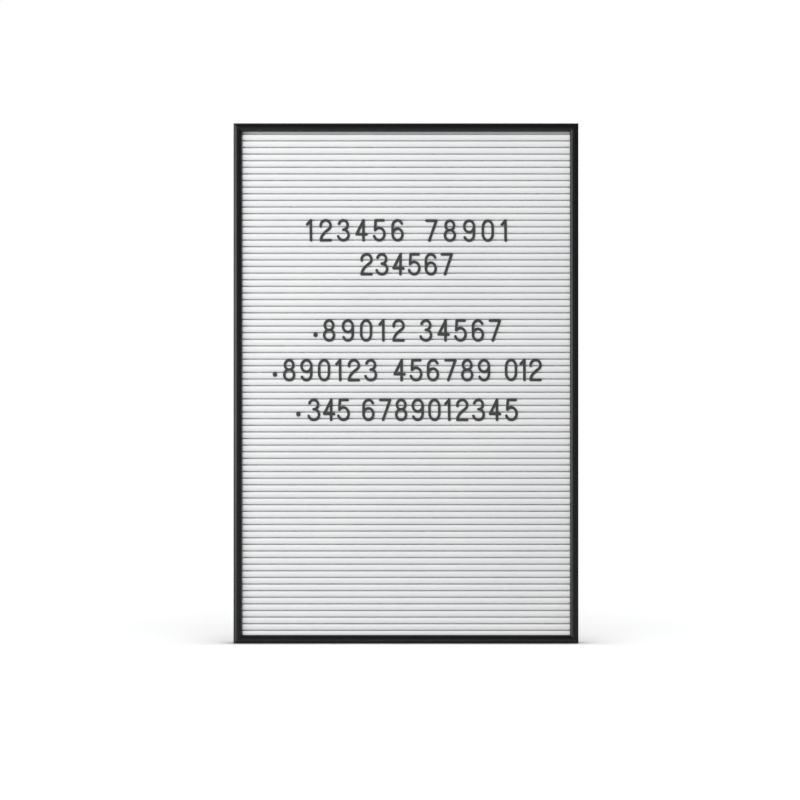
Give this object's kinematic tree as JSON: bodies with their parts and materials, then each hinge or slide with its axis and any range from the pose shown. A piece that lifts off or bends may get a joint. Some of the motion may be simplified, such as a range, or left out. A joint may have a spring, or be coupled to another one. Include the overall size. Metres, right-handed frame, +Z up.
{
  "type": "changeable letter board",
  "caption": "Wall or table letter board: a white grooved plastic panel, backed and sprung, in a slim mitred black aluminium frame with a sawtooth hanger.",
  "frame": {"origin": "middle of the frame's foot, on the surface that it stands on", "axes": "+Z up the board, +X across it to the reader's right, and the grooved face looks along -Y"},
  "size_m": [0.299, 0.019, 0.451],
  "materials": {
    "frame": "satin black anodised",
    "panel": "satin white moulded",
    "backing": "hardboard, plain",
    "corner_plates": "zinc plated, stamped",
    "screws": "zinc plated",
    "springs": "blued spring steel",
    "hanger": "brass plated, satin",
    "characters": "satin black moulded"
  },
  "bodies": {
    "root": {"backing_board": "backing", "corner_key_bottom_left": "corner_plates", "corner_key_bottom_right": "corner_plates", "corner_key_top_left": "corner_plates", "corner_key_top_right": "corner_plates", "corner_shim_bottom_left": "corner_plates", "corner_shim_bottom_right": "corner_plates", "corner_shim_top_left": "corner_plates", "corner_shim_top_right": "corner_plates", "frame_bottom": "frame", "frame_left": "frame", "frame_right": "frame", "frame_top": "frame", "hanger_rivet_left": "hanger", "hanger_rivet_right": "hanger", "letter_panel": "panel", "sawtooth_hanger": "hanger", "set_screw_bottom_left_first": "screws", "set_screw_bottom_left_second": "screws", "set_screw_bottom_right_first": "screws", "set_screw_bottom_right_second": "screws", "set_screw_top_left_first": "screws", "set_screw_top_left_second": "screws", "set_screw_top_right_first": "screws", "set_screw_top_right_second": "screws", "spring_bottom": "springs", "spring_left_lower": "springs", "spring_left_upper": "springs", "spring_right_lower": "springs", "spring_right_upper": "springs", "spring_top": "springs"}
  },
  "joints": []
}
